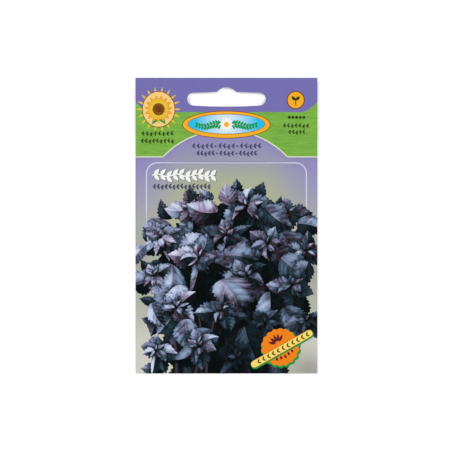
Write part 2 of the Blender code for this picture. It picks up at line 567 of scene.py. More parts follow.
# %% [markdown]
# The bush's outline is a broad dome, which is given by its middle and half width at each height.
# Leaves are scattered inside it on a jittered grid, so that they cover it evenly and yet show no
# rows.

# %% The bush's dome, in millimetres: height, middle and half width
random.seed(41)
BUSH_STOPS = [
    (17, 2, 7), (10, 1.5, 20), (2, 1, 31), (-8, 2, 37), (-22, 1.5, 38), (-38, 0, 35), (-52, -2, 31),
    (-68, -3, 27),
]
BUSH_FOOT = -64
JITTER = 0.35


def bush_span(y):
    """Left and right limits of the bush at a height."""
    for (high, middle_a, half_a), (low, middle_b, half_b) in zip(BUSH_STOPS, BUSH_STOPS[1:]):
        if high >= y >= low:
            share = (high - y) / (high - low)
            middle = middle_a + (middle_b - middle_a) * share
            half = half_a + (half_b - half_a) * share
            return middle - half, middle + half


def scatter(step, inset, high):
    """Jittered places inside the bush, from a height down to its foot."""
    found = []
    y = high
    row = 0
    while y > BUSH_FOOT:
        left, right = bush_span(y)
        row += 1
        x = left + inset + (row % 2) * step / 2
        while x < right - inset:
            aside = random.uniform(-JITTER, JITTER) * step
            found.append((x + aside, y + random.uniform(-JITTER, JITTER) * step))
            x += step
        y -= step * 0.8
    return found


def bush_gap():
    """The dark shape behind the leaves, with a wavy rim."""
    left, right = [], []
    for i in range(39):
        y = 8 - 2 * i
        left_limit, right_limit = bush_span(y)
        inset = 7 + 12 * math.exp(-i / 1.5)
        wave = 1.5 * math.sin(1.7 * i) + 1.2 * math.sin(0.6 * i)
        left.append((left_limit + inset + wave, y - 3))
        right.append((right_limit - inset + 1.3 * wave, y - 3))
    return [*left, *right[::-1]]


# %% [markdown]
# The light from the upper left leaves the foot of the bush and its right side in shade, and clumps
# of the bush stand in each other's light. One function gives that share of light at a place. The
# leaves inside the bush are nearly black, but those that reach out of its rim catch some light.

# %% Light in the bush
OPEN_LIGHT = 1.5
LEAST_LIGHT = 0.15
RIGHT_SHADE = 0.95
FOOT_HOLLOW = 0.95
CLUMP_LIGHT = 0.4
CLUMP_SIZE = 13
RIM_LIGHT = 0.55
RIM_DEPTH = 6
BUSH_HEAD = 12


def bush_light(x, y):
    right_share = (x + 40) / 80
    low_share = (10 - y) / 70
    hollow = math.exp(-(((x - 5) / 20) ** 2))
    clump = noise.noise(Vector((x / CLUMP_SIZE, y / CLUMP_SIZE, 4.2)))
    from_sky = OPEN_LIGHT - RIGHT_SHADE * right_share - low_share * (FOOT_HOLLOW * hollow - 0.15)
    return max(LEAST_LIGHT, from_sky + CLUMP_LIGHT * clump)


def near_rim(x, y):
    left, right = bush_span(y)
    return math.exp(-min(x - left, right - x, BUSH_HEAD - y) / RIM_DEPTH)


# %% The leaves inside the bush, and the hanging ones
lay(bush_gap(), GAP)
for x, y in scatter(8, 4, high=9):
    outward = math.atan2(y + 34, x - 2)
    size = random.uniform(8, 12)
    heading = outward + random.uniform(-1, 1)
    breadth = random.uniform(0.28, 0.42)
    tone = random.uniform(0.02, 0.25) + RIM_LIGHT * near_rim(x, y) * bush_light(x, y)
    basil_leaf((x, y), heading, size, breadth, tone, fold=0.3, wine=0.2)
for x, y in scatter(11, 6, high=6):
    size = random.uniform(10, 15)
    heading = math.radians(-90) + 0.9 * x / 40 + random.uniform(-0.8, 0.8)
    tone = random.choice((0.08, 0.2, 0.4, 0.8)) * bush_light(x, y)
    basil_leaf((x, y), heading, size, random.uniform(0.32, 0.46), tone, wine=random.uniform(0, 0.7))
count_shapes("the inner leaves")

# %% [markdown]
# Between the shoots hang single large leaves, the broadest of the plant, and stems show where the
# leaves part at the foot.

# %% Stems
STEM = ink(64, 51, 60)
STEM_FOOT = -66
# across at the foot, and the place of the head
STEMS = [(-22, -27, -36), (-14, -12, -40), (-9, -4, -36), (8, 13, -42), (20, 30, -44)]
for foot_x, head_x, head_y in STEMS:
    bow = random.uniform(-2, 2)
    path = []
    for i in range(9):
        share = i / 8
        x = foot_x + (head_x - foot_x) * share + bow * math.sin(math.pi * share)
        path.append((x, STEM_FOOT + (head_y - STEM_FOOT) * share))
    lay(stroke(path, 1.1, 0.5), STEM)
count_shapes("the stems")

# %% The shoots and the large leaves, from the back row to the front row
# middle and size of each shoot, in millimetres, and its turn in degrees
SHOOTS = [
    (-16, 7.5, 12.5, 20), (9, 8.5, 14, 70), (27, 6, 12.5, 5),
    (-29, -5, 13, 40), (0, -4, 12, 10), (18, -8, 13, 55), (35, -11, 12, 80),
    (-32, -22, 10.5, 15), (-12, -14, 15, 65), (9, -22, 13.5, 30), (29, -26, 13, 75),
    (-22, -36, 13, 50), (-2, -37, 12, 5), (17, -43, 12, 60), (35, -42, 10, 35),
    (-31, -55, 10, 70), (-12, -53, 13, 25), (5, -58, 11, 50),
]
# stalk, heading in degrees, length, breadth of a half, share of wine red
LARGE_LEAVES = [
    (-4, 6, 165, 14, 0.42, 0.7), (17, 8, -35, 15, 0.4, 0.2), (-20, 0, -75, 17, 0.42, 0.0),
    (24, -3, -60, 18, 0.44, 0.4), (6, -9, -105, 20, 0.44, 0.7), (-24, -17, -110, 21, 0.38, 0.0),
    (36, -16, -120, 13, 0.4, 0.1), (-3, -24, -65, 21, 0.46, 0.5), (19, -29, -95, 20, 0.4, 0.0),
    (-18, -41, -80, 16, 0.4, 0.2), (8, -44, -70, 18, 0.42, 0.0), (2, 9, 100, 10, 0.42, 0.8),
    (31, 1, -15, 13, 0.4, 0.0), (-9, -6, -155, 15, 0.42, 0.2), (24, -14, -40, 17, 0.42, 0.0),
    (-36, -9, -120, 11, 0.4, 0.3), (-21, -26, -75, 15, 0.44, 0.1), (-6, -46, -120, 16, 0.44, 0.0),
    (25, -36, -60, 16, 0.42, 0.0), (1, -13, -15, 14, 0.44, 0.3), (-33, -34, -60, 12, 0.4, 0.2),
]


def large_leaf(x, y, heading, length, breadth, wine):
    tone = bush_light(x, y) * random.uniform(0.75, 1.4)
    basil_leaf((x, y), math.radians(heading), length, breadth, tone, wine=wine)


rows = []
for x, y, size, spin in SHOOTS:
    wine = 0.5 - 0.006 * (10 - y)
    rows.append((y, shoot, ((x, y), size, spin, bush_light(x, y), wine)))
for leaf in LARGE_LEAVES:
    rows.append((leaf[1] - 3, large_leaf, leaf))
for height, draw, details in sorted(rows, key=lambda row: -row[0]):
    draw(*details)
count_shapes("the whole plant")

# %% [markdown]
# ## Ornaments in the header
# A round flower badge sits at the left of the header. It is drawn as a garden sunflower: a ring of
# yellow rays, a ring of amber petals, and a brown eye with its seeds set in the spiral that real
# sunflowers have, each seed turned 137.5 degrees from the last.

# %% The sunflower
FLOWER = (-29.8, 51.15)
GOLDEN_TURN = math.radians(137.508)


def petal_ring(centre, count, inner, outer, width, colour, turn=0.0):
    for k in range(count):
        heading = 2 * math.pi * k / count + turn
        lay(simple_leaf(on_oval(centre, inner, inner, heading), heading, outer - inner, width), colour)


petal_ring(FLOWER, 18, 6.4, 9.9, 0.85, YELLOW)
lay(oval(FLOWER, 7.35, 8.05), BROWN)
lay(oval(FLOWER, 7.0, 7.7), PALE_AMBER)
for heading in (-0.9, -2.2):
    lay(simple_leaf(shifted(FLOWER, 0, -2.6), heading, 5.0, 2.2), EMERALD)
petal_ring(FLOWER, 15, 1.6, 6.2, 1.8, BROWN, 0.1)
petal_ring(FLOWER, 15, 1.6, 6.0, 1.5, AMBER, 0.1)
petal_ring(FLOWER, 15, 1.6, 4.8, 1.15, YELLOW, 0.31)
lay(disc(FLOWER, 2.7, 28), BROWN)
for k in range(1, 60):
    reach = 2.45 * math.sqrt(k / 60)
    spot = on_oval(FLOWER, reach, reach, k * GOLDEN_TURN)
    lay(disc(spot, 0.1, 6), AMBER if k > 22 else DARK_GREEN)
count_shapes("the sunflower")

# %% [markdown]
# Under the slot sits an oval plaque, amber round a sky-blue field. A daisy with a leafy stem to each
# side fills it.

# %% The plaque under the hang slot
PLAQUE = (0, 44.4)
PLAQUE_FIELD = shifted(PLAQUE, 0, 0.25)
DAISY = shifted(PLAQUE, 0, 0.1)


def plaque_sky(x, y):
    return blend(SKY, PALE_SKY, 1.25 - abs(x - PLAQUE[0]) / 11)


lay(oval(PLAQUE, 19.4, 6.1, 64), BROWN)
lay(oval(PLAQUE, 19.1, 5.8, 64), AMBER)
lay(oval(PLAQUE_FIELD, 17.0, 4.5, 64), BROWN)
lay(oval(PLAQUE_FIELD, 16.75, 4.25, 64), plaque_sky)
for way in (-1, 1):
    stem = [(way * (1 + 1.3 * i), PLAQUE[1] - 0.4 + 0.55 * math.sin(0.75 * i)) for i in range(10)]
    lay(stroke(stem, 0.45, 1), BROWN)
    for i in range(1, 10):
        for lean in (0.95, -0.95):
            heading = (0 if way > 0 else math.pi) + way * lean
            lay(simple_leaf(stem[i], heading, 2.7 - 0.14 * i, 1.15), EMERALD)
petal_ring(DAISY, 12, 0.7, 3.4, 1.15, WHITE)
lay(disc(DAISY, 1.15, 20), AMBER)
count_shapes("the plaque")

# %% [markdown]
# A small amber disc at the right holds a sprout: a stem with two seed leaves.

# %% The disc
DISC = (30.45, 55.2)
lay(disc(DISC, 4.0), BROWN)
lay(disc(DISC, 3.55), AMBER)
sprout = [(DISC[0] + 0.1 * math.sin(2 * i), DISC[1] - 2.3 + 0.55 * i) for i in range(6)]
lay(stroke(sprout, 0.42), DARK_GREEN)
for heading in (0.75, math.pi - 0.75):
    lay(simple_leaf(shifted(DISC, 0, -0.1), heading, 2.6, 1.4), DARK_GREEN)
count_shapes("the disc")

# %% [markdown]
# ## Garlands
# Thin rows of small leaves on a wavy stem break up the plain fields, as printers' ornaments do. One
# helper draws them all, and the large white one casts a hard dark shadow, which is the same garland
# printed first in grey and a little lower.

# %% Garland rows
GARLAND_STEM = 0.13
GARLAND_WAVE = 0.12
GARLAND_LEAF = (0.75, 0.36)


def garland(left, right, middle, height, colour, beat):
    """Leaves in pairs on a waving stem. beat is the distance from one pair to the next."""
    count = max(2, round((right - left) / beat))
    step = (right - left) / count
    path = []
    for i in range(3 * count + 1):
        path.append((left + step * i / 3, middle + GARLAND_WAVE * height * math.sin(2 * i / 3)))
    lay(stroke(path, GARLAND_STEM * height), colour)
    length, width = GARLAND_LEAF
    for place in path[1::3]:
        for lean in (0.85, -0.85):
            lay(simple_leaf(place, lean, height * length, height * width), colour)


# %% Rows at the sides of the header
def dot_row(left, right, middle, size, colour, beat):
    count = round((right - left) / beat)
    for i in range(count + 1):
        lay(disc((left + (right - left) * i / count, middle), size, 10), colour)


for left, right, height in ((-37.6, -23.2, 40.4), (-37.9, -23.0, 37.2)):
    garland(left, right, height, 1.9, DARK_GREEN, 1.7)
dot_row(27.6, 34.0, 47.6, 0.68, DARK_GREEN, 1.6)
for left, right, height in ((24.6, 36.4, 43.9), (27.0, 34.6, 41.1)):
    garland(left, right, height, 1.8, DARK_GREEN, 1.6)

# %% Rows under the arch, each in three parts with a dot between them
# height, outer and inner end of the side parts, and end of the middle part
ARCH_ROWS = ((34.9, 15.4, 5.6, 3.9), (31.7, 13.4, 5.2, 3.4))
for height, outer, inner, middle in ARCH_ROWS:
    for left, right in ((-outer, -inner), (-middle, middle), (inner, outer)):
        garland(left, right, height, 2.1, DARK_VIOLET, 1.8)
for height, outer, inner, middle in ARCH_ROWS:
    for way in (-1, 1):
        lay(disc((way * (inner + middle) / 2, height), 0.42, 12), DARK_VIOLET)

# %% Rows on the picture
garland(-32.3, -4.6, 21.8, 4.6, SHADOW, 2.7)
garland(-32.6, -4.9, 22.1, 4.6, WHITE, 2.7)
garland(-32.6, -6.9, 17.1, 2.2, DARK_VIOLET, 1.75)
count_shapes("the garlands")

# %% [markdown]
# ## The seal on the picture
# A round orange seal with a scalloped rim and a green border sits low on the right, with a pale
# ribbon laid slantwise over it. Seeds and leaves are its only marks.

# %% Seal and ribbon
SEAL = (23.6, -53.4)
SEAL_RADIUS = 8.0
LOBES = 18
LOBE_DEPTH = 0.6
RIBBON_ENDS = ((12.3, -60.9), (36.4, -47.4))


def scallop(centre, radius):
    found = []
    for i in range(LOBES * 6):
        angle = 2 * math.pi * i / (LOBES * 6)
        reach = radius + LOBE_DEPTH * abs(math.sin(LOBES * angle / 2))
        found.append(on_oval(centre, reach, reach, angle))
    return found


lay(scallop(shifted(SEAL, 0.35, -0.5), SEAL_RADIUS + 0.3), SEAL_GREEN)
lay(scallop(SEAL, SEAL_RADIUS - 0.2), ORANGE)
ribbon_start, ribbon_end = Vector(RIBBON_ENDS[0]), Vector(RIBBON_ENDS[1])
ribbon_lean = math.atan2(ribbon_end.y - ribbon_start.y, ribbon_end.x - ribbon_start.x)
ribbon_ahead = pointing(ribbon_lean)
ribbon_up = left_of(ribbon_ahead)

# %% Leaves above the ribbon, and seeds below it
for spread in (-0.9, -0.45, 0, 0.45, 0.9):
    heading = ribbon_lean + math.pi / 2 + spread
    base = Vector(SEAL) + ribbon_up * 1.6 + pointing(heading) * 1.1
    lay(simple_leaf(base, heading, 3.6, 1.2), MAROON)
for k in range(-2, 3):
    spot = Vector(SEAL) - ribbon_up * (4.6 - 0.35 * abs(k)) + ribbon_ahead * 1.9 * k
    lay(simple_leaf(spot - ribbon_up * 0.9, ribbon_lean + math.pi / 2, 1.8, 1.1), MAROON)

# %% The ribbon, over its own shadow
drop = -ribbon_up * 0.55
lay(capsule(ribbon_start + drop, ribbon_end + drop, 3.5), SEAL_GREEN)
lay(capsule(ribbon_start, ribbon_end, 3.3), BROWN)
lay(capsule(ribbon_start, ribbon_end, 3.0), RIBBON)
for i in range(11):
    place = ribbon_start.lerp(ribbon_end, 0.06 + 0.088 * i)
    for lean in (0.7, -0.7):
        lay(simple_leaf(place - ribbon_up * 0.1 * lean, ribbon_lean + lean, 1.9, 0.75), BROWN)
count_shapes("the seal, which is all of the front")

# %% [markdown]
# ## The hang slot
# The slot is the kind that display hooks take: long, with round ends, and a hump in the middle of
# its upper edge where a single round peg sits. Its outline is drawn for the right half and then
# mirrored. A fillet softens the corner between the hump and the straight edge.

# %% The hang slot's outline
SLOT_WIDTH = 34.5
SLOT_TOP = 6.3
SLOT_BOTTOM = 12.5
SLOT_END = 2.8
SLOT_BOW = 0.3
HUMP_TOP = 4.25
HUMP_RADIUS = 5.2
HUMP_FILLET = 1.5


def slot_outline():
    upper, lower = TOP - SLOT_TOP, TOP - SLOT_BOTTOM
    end_x, end_y = SLOT_WIDTH / 2 - SLOT_END, (upper + lower) / 2
    hump_y = TOP - HUMP_TOP - HUMP_RADIUS
    fillet_y = upper + HUMP_FILLET
    fillet_x = math.sqrt((HUMP_RADIUS + HUMP_FILLET) ** 2 - (fillet_y - hump_y) ** 2)
    lean = math.degrees(math.atan2(fillet_y - hump_y, fillet_x))
    right = [
        (0, lower - SLOT_BOW / 2),
        (end_x / 2, lower - SLOT_BOW / 4),
        *arc((end_x, end_y), SLOT_END, -90, 90, 24),
        *arc((fillet_x, fillet_y), HUMP_FILLET, 270, 180 + lean, 8),
        *arc((0, hump_y), HUMP_RADIUS, lean, 90, 20),
    ]
    return right + [(-x, y) for x, y in reversed(right[1:-1])]


print(f"the slot is {SLOT_WIDTH} mm wide and {SLOT_BOTTOM - SLOT_TOP:.1f} mm high")

# %% [markdown]
# ## From outlines to one sheet
# Stacked shapes would be many loose flakes. A real print has no thickness, so the sheet is made as
# one surface instead: all outlines are cut into it at once by a constrained triangulation, which
# keeps every outline as a row of edges and says which outlines each triangle lies inside. The
# highest of them gives the triangle its ink. An even net of extra points lets the surface bend.

# %% Cut the sheet
NET = 1.5


def net_points():
    rows = int(HEIGHT / (NET * 0.866))
    columns = int(WIDTH / NET)
    for row in range(1, rows):
        for column in range(columns):
            x = -SIDE + NET * (column + 0.5 + 0.5 * (row % 2))
            if abs(x) < SIDE - 0.3:
                yield Vector((x, -TOP + HEIGHT * row / rows))


def cut_sheet(layers):
    """Points, triangles and each triangle's highest layer, on the flat sheet."""
    outlines = [box(-SIDE, -TOP, SIDE, TOP), slot_outline(), *[layer["outline"] for layer in layers]]
    points, faces = [], []
    for outline in outlines:
        faces.append(list(range(len(points), len(points) + len(outline))))
        points.extend(Vector(point) for point in outline)
    points.extend(net_points())
    places, _, cut_faces, _, _, insides = geometry.delaunay_2d_cdt(points, [], faces, 0, 1e-4, True)
    triangles, tops = [], []
    for triangle, inside in zip(cut_faces, insides):
        if 0 in inside and 1 not in inside:
            triangles.append(triangle)
            tops.append(max(inside) - 2)
    return places, triangles, tops


# %% [markdown]
# Leaves that lie over others shade them. Each corner of a leaf triangle is darkened by how near it
# is to the outline of a higher leaf, more so below and to the right of it, away from the light. A
# search tree of all leaf outlines makes that quick.

# %% Soft shade between the leaves
SHADE_REACH = 4.5
SHADE_FALL = 1.7
OUTLINE_SKIP = 3
AWAY_FROM_LIGHT = Vector((0.57, -0.82, 0))


def outline_tree(layers):
    points = []
    for number, layer in enumerate(layers):
        if layer["leaf"]:
            points += [(x, y, number) for x, y in layer["outline"][::OUTLINE_SKIP]]
    tree = kdtree.KDTree(max(1, len(points)))
    for index, (x, y, number) in enumerate(points):
        tree.insert((x, y, 0), index)
    tree.balance()
    return tree, points


def shade_at(x, y, number, tree, points):
    """1 in the open, less beside a leaf that is drawn over this one."""
    darkest = 0
    here = Vector((x, y, 0))
    for place, index, distance in tree.find_range(here, SHADE_REACH):
        if points[index][2] > number:
            side = (here - place).normalized().dot(AWAY_FROM_LIGHT) if distance > 0.01 else 1
            strength = (0.5 + 0.5 * max(0, side)) * math.exp(-distance / SHADE_FALL)
            darkest = max(darkest, strength)
    return 1 - darkest


# %% [markdown]
# Every corner of every triangle then stores its ink and, on the plant, its place in its leaf. These
# are mesh attributes: named values that travel with the mesh and that a material can read. The leaf
# formula gets four of them, of three numbers each: the place in the leaf, its form, how the light
# falls on its halves, and how deep it stands in the bush.

# %% Store the inks and the leaves' numbers
LEAF_ATTRIBUTES = ("leaf_place", "leaf_form", "leaf_light", "leaf_depth")


def store(mesh, name, kind, numbers):
    slots = {"FLOAT_COLOR": "color", "FLOAT_VECTOR": "vector", "FLOAT": "value"}
    mesh.attributes.new(name, kind, "CORNER").data.foreach_set(slots[kind], numbers)


def leaf_numbers(layers, top, x, y, shade):
    """The four triples at a point, all zero off the plant."""
    leaf = layers[top]["leaf"]
    if not leaf:
        return [(0, 0, 0)] * len(LEAF_ATTRIBUTES)
    away = Vector((x, y)) - leaf["base"]
    s, q = [away.dot(axis) / leaf["length"] for axis in leaf["axes"]]
    return [
        (s, q, leaf["seed"]),
        (leaf["bend"], leaf["left"], leaf["right"]),
        (*leaf["sheen"], leaf["wine"]),
        (leaf["depth"] * shade_at(x, y, top, *shade), leaf["droop"], leaf["tip_to_light"]),
    ]


def store_inks(mesh, layers, corners, tops, flat):
    shade = outline_tree(layers)
    inks, fields = [], []
    leaves = {name: [] for name in LEAF_ATTRIBUTES}
    for triangle, top in zip(corners, tops):
        layer = layers[top]
        for index in triangle:
            x, y = flat[index]
            inks.extend((*colour_at(layer, x, y), 1 if layer["leaf"] else 0))
            fields.append(layer["texture"])
            for numbers, triple in zip(leaves.values(), leaf_numbers(layers, top, x, y, shade)):
                numbers.extend(triple)
    store(mesh, "ink", "FLOAT_COLOR", inks)
    for name, numbers in leaves.items():
        store(mesh, name, "FLOAT_VECTOR", numbers)
    store(mesh, "field", "FLOAT", fields)


# %% The printed face
def sheet_mesh(name, layers, face_height, mirror=1):
    """The sheet's printed face with its ink on its corners. A mirror of -1 turns it to face down."""
    points, triangles, tops = cut_sheet(layers)
    used = sorted({index for triangle in triangles for index in triangle})
    renumber = {index: place for place, index in enumerate(used)}
    flat = [points[index] for index in used]
    corners = [[renumber[index] for index in triangle] for triangle in triangles]
    mesh = bpy.data.meshes.new(name)
    lifted = [(mirror * p.x * MM, p.y * MM, face_height(mirror * p.x, p.y) * MM) for p in flat]
    mesh.from_pydata(lifted, [], corners)
    store_inks(mesh, layers, corners, tops, flat)
    return mesh


# %% [markdown]
# ## Arithmetic on shader sockets
# The leaf material is a formula, and formulas are hard to read as a web of nodes. This small class
# wraps a socket, and its operators add the Math nodes, so that the material reads as arithmetic.

# %% Nodes, and what goes into them
def add_node(tree, kind, **settings):
    node = tree.nodes.new(kind)
    for name, value in settings.items():
        setattr(node, name, value)
    return node


def feed(tree, node, inputs):
    """Link sockets to a node's inputs, by name or number, or set numbers and colours there."""
    for name, value in inputs.items():
        place = node.inputs[name]
        if isinstance(value, Value):
            value = value.socket
        if isinstance(value, bpy.types.NodeSocket):
            tree.links.new(value, place)
        elif isinstance(value, tuple):
            place.default_value = (*value, 1)[: len(place.default_value)]
        else:
            place.default_value = value


def output_of(tree, kind, inputs, output=0, **settings):
    """Add a node, feed it, and give one of its outputs."""
    node = add_node(tree, kind, **settings)
    feed(tree, node, inputs)
    return node.outputs[output]


# %% A socket that can be added and multiplied
class Value:
    def __init__(self, tree, socket):
        self.tree = tree
        self.socket = socket

    def do(self, operation, *others):
        inputs = dict(enumerate((self, *others)))
        return Value(self.tree, output_of(self.tree, "ShaderNodeMath", inputs, operation=operation))

    def __add__(self, other):
        return self.do("ADD", other)

    def __sub__(self, other):
        return self.do("SUBTRACT", other)

    def __mul__(self, other):
        return self.do("MULTIPLY", other)

    def __truediv__(self, other):
        return self.do("DIVIDE", other)

    def __pow__(self, other):
        return self.do("POWER", other)

    def from_one(self):
        return (self * -1) + 1

    def between(self, low, high):
        return self.do("MAXIMUM", low).do("MINIMUM", high)

    def step(self, start, end):
        """0 before start, 1 after end, and smooth between."""
        inputs = {"Value": self, "From Min": start, "From Max": end}
        smooth = {"interpolation_type": "SMOOTHSTEP"}
        return Value(self.tree, output_of(self.tree, "ShaderNodeMapRange", inputs, "Result", **smooth))


# %% What the materials read and mix
# the sockets of the Mix node that are for colours
MIX_SHARE, MIX_ONE, MIX_OTHER, MIX_RESULT = 0, 6, 7, 2


def attribute(tree, name):
    return add_node(tree, "ShaderNodeAttribute", attribute_name=name)


def parts_of(tree, socket):
    node = add_node(tree, "ShaderNodeSeparateXYZ")
    feed(tree, node, {0: socket})
    return [Value(tree, output) for output in node.outputs]


def mix_colours(tree, share, one, other, way="MIX"):
    inputs = {MIX_SHARE: share, MIX_ONE: one, MIX_OTHER: other}
    return output_of(tree, "ShaderNodeMix", inputs, MIX_RESULT, data_type="RGBA", blend_type=way)


def cloud(tree, place, scale, detail):
    inputs = {"Vector": place, "Scale": scale, "Detail": detail}
    return Value(tree, output_of(tree, "ShaderNodeTexNoise", inputs, "Fac"))


def noise_value(tree, scale, detail, stretch=(1, 1, 1)):
    """Noise over the packet's own millimetres."""
    place = output_of(tree, "ShaderNodeTexCoord", {}, "Object")
    per_metre = tuple(scale * share / MM for share in stretch)
    stretched = output_of(tree, "ShaderNodeMapping", {"Vector": place, "Scale": per_metre})
    return cloud(tree, stretched, 1, detail)


# %% [markdown]
# ## The leaf formula
# Everything that lights a leaf is added up into one tone, from 0 in the deep to 1 where it mirrors
# the sky: its depth in the bush, the half that faces the light, the arch along it, a blotchy gloss,
# and the bulges between its side veins. Two ramps turn that tone into slate blue or into wine red,
# and a slow noise mixes them.

# %% How strong each part of a leaf's tone is
VEINS = 6
VEIN_LEAN = 0.34
VEIN_CURVE = 1.5
VEIN_DARK = 0.08
RELIEF = 0.12
STREAK = 0.38
RUFFLE = 0.09
FLECK = 0.12
RIM_GLINT = 0.35
EXPOSURE = 2.6
LEAST_TONE = 0.05
SOFTENING = -1.4
CONTRAST = 1.35


def blotches(tree, along, across, leaf_seed, size):
    """Noise that lies on a leaf and differs from leaf to leaf."""
    inputs = {"X": along + leaf_seed, "Y": across, "Z": leaf_seed}
    return cloud(tree, output_of(tree, "ShaderNodeCombineXYZ", inputs), size, 3)


# %% The tone of a leaf
def leaf_tone(tree):
    """The tone, the share of wine red, and the share of midrib and vein at a point of a leaf."""
    place, form, light, deep = [
        parts_of(tree, attribute(tree, name).outputs["Vector"]) for name in LEAF_ATTRIBUTES
    ]
    s, q, leaf_seed = place
    bend, left, right = form
    sky_left, sky_right, wine = light
    depth, droop, tip_to_light = deep
    off = q - bend * s * s.from_one() * 4
    is_left = off.do("GREATER_THAN", 0)
    half = right + (left - right) * is_left
    wave_s = (s.between(0.001, 0.999) ** PROFILE_LEAN * math.pi).do("SINE")
    profile = wave_s.do("MAXIMUM", 0.01) ** (s * PROFILE_POINT + PROFILE_BLUNT)
    out = off.do("ABSOLUTE") / (half * profile + 0.01)
    vein_place = s - out**VEIN_CURVE * VEIN_LEAN * (s * -0.6 + 1)
    wave = (vein_place * VEINS + is_left * 0.4).do("FRACT")
    from_vein = ((wave - 0.5).do("ABSOLUTE") * 2).from_one()
    vein = from_vein.step(0.0, 0.12).from_one() * out.step(0.7, 1.0).from_one()
    midrib = (off.do("ABSOLUTE") * (s + 0.7)).step(0.006, 0.024).from_one()

    sky = sky_right + (sky_left - sky_right) * is_left
    gloss = blotches(tree, vein_place * 3, off * 4, leaf_seed, 0.8).step(0.36, 0.66)
    streak = blotches(tree, vein_place * 26, out * 2.4, leaf_seed + 3, 1.0) - 0.5
    fine = blotches(tree, s * 2.2, off * 3.2, leaf_seed, 4.5) - 0.5
    rounded = out.step(0.0, 0.35) * 0.3 + out.step(0.6, 1.15).from_one() * 0.7
    slope = (wave * math.pi).do("COSINE") * tip_to_light * -1
    relief = slope * from_vein.step(0.0, 0.3) * out.step(0.0, 0.25) * out.step(0.7, 1.1).from_one()
    ruffle = (s * 38 + leaf_seed).do("SINE") * out.step(0.55, 1.0)
    lit = sky * (rounded * 0.75 + 0.25) * (gloss * 0.65 + 0.42) + droop * (s - 0.4)
    lit = lit + (relief * RELIEF + streak * STREAK + ruffle * RUFFLE) * (sky + 0.25) + fine * FLECK
    lit = lit - vein * VEIN_DARK + out.step(0.9, 1.0) * (fine + 0.3) * RIM_GLINT
    near_stalk = s.step(-0.1, 0.35) * 0.5 + 0.5
    tone = (lit.do("MAXIMUM", 0.0) * EXPOSURE + LEAST_TONE) * depth * near_stalk
    soft_tone = (tone * SOFTENING).do("EXPONENT").from_one() ** CONTRAST
    wine_share = wine + (gloss * -0.8 + 0.22) + fine
    return soft_tone, wine_share.between(0, 1), midrib, vein


# %% Slate and wine ramps
SLATE_RAMP = colour_stops(
    (0, 0, 5, 6), (0.2, 25, 44, 54), (0.45, 66, 86, 108), (0.75, 142, 160, 192), (1, 214, 224, 246)
)
WINE_RAMP = colour_stops(
    (0, 5, 5, 6), (0.2, 48, 33, 44), (0.45, 98, 72, 94), (0.75, 156, 138, 172), (1, 208, 202, 228)
)
ROSE = ink(188, 158, 186)
MOST_WINE = 0.85
VEIN_ROSE = 0.16
MIDRIB_ROSE = 0.5


def ramp_of(tree, tone, stops):
    node = add_node(tree, "ShaderNodeValToRGB")
    ramp = node.color_ramp
    while len(ramp.elements) < len(stops):
        ramp.elements.new(0.5)
    for element, (place, colour) in zip(ramp.elements, stops):
        element.position = place
        element.color = (*colour, 1)
    feed(tree, node, {"Fac": tone})
    return node.outputs["Color"]


def leaf_colour(tree):
    tone, wine_share, midrib, vein = leaf_tone(tree)
    slate, wine = [ramp_of(tree, tone, ramp) for ramp in (SLATE_RAMP, WINE_RAMP)]
    colour = mix_colours(tree, wine_share * MOST_WINE, slate, wine)
    lit_share = tone.step(0.1, 0.7)
    colour = mix_colours(tree, vein * lit_share * VEIN_ROSE, colour, ROSE)
    return mix_colours(tree, midrib * lit_share * MIDRIB_ROSE, colour, ROSE)


# %% [markdown]
# ## Coated paper
# The sheets are printed on paper with a thin satin coating. It is not a mirror: fibres under the
# coating make its gloss uneven, and the surface has a very fine tooth. Both are small noises, one on
# the roughness and one in the bump. The green field also carries a fine streaked pattern along the
# sheet, which only shapes that say so show.

# %% Helpers for every finish
def new_material(name):
    material = bpy.data.materials.new(name)
    material.use_nodes = True
    tree = material.node_tree
    return material, tree, tree.nodes["Principled BSDF"]


def add_bump(tree, shader, height, distance, strength):
    inputs = {"Strength": strength, "Distance": distance, "Height": height}
    feed(tree, shader, {"Normal": output_of(tree, "ShaderNodeBump", inputs)})


# %% The printed finish
COAT_ROUGHNESS = 0.28
COAT_UNEVEN = 0.12
COAT_SPECULAR = 0.25
COAT_TOOTH = 0.012
FIELD_STREAKS = 0.7


def printed_paper(name):
    material, tree, shader = new_material(name)
    inked = attribute(tree, "ink")
    is_leaf = Value(tree, inked.outputs["Alpha"])
    field = Value(tree, attribute(tree, "field").outputs["Fac"])
    streaks = noise_value(tree, 0.5, 3, (0.35, 2.2, 1))
    strength = field * (streaks - 0.5) * FIELD_STREAKS + 1
    grey = output_of(tree, "ShaderNodeCombineColor", {place: strength for place in range(3)})
    flat = mix_colours(tree, 1.0, inked.outputs["Color"], grey, "MULTIPLY")
    fibre = noise_value(tree, 2.2, 4)
    feed(tree, shader, {
        "Base Color": mix_colours(tree, is_leaf, flat, leaf_colour(tree)),
        "Roughness": fibre * COAT_UNEVEN + (COAT_ROUGHNESS - COAT_UNEVEN / 2),
        "Specular IOR Level": COAT_SPECULAR,
    })
    add_bump(tree, shader, fibre, COAT_TOOTH * MM, 0.5)
    return material


# %% [markdown]
# The cut edge and the inside are the raw paper itself. It has no coating, so it is matt and rougher,
# and its fibres show as faint paler and darker streaks.

# %% Raw paper
RAW_DARK = ink(226, 222, 212)
RAW_PALE = ink(246, 244, 238)
RAW_ROUGHNESS = 0.85
RAW_TOOTH = 0.02


def raw_paper(name):
    material, tree, shader = new_material(name)
    fibre = noise_value(tree, 6, 4, (1, 0.4, 2))
    colour = mix_colours(tree, fibre, RAW_DARK, RAW_PALE)
    feed(tree, shader, {"Base Color": colour, "Roughness": RAW_ROUGHNESS})
    add_bump(tree, shader, fibre, RAW_TOOTH * MM, 0.6)
    return material


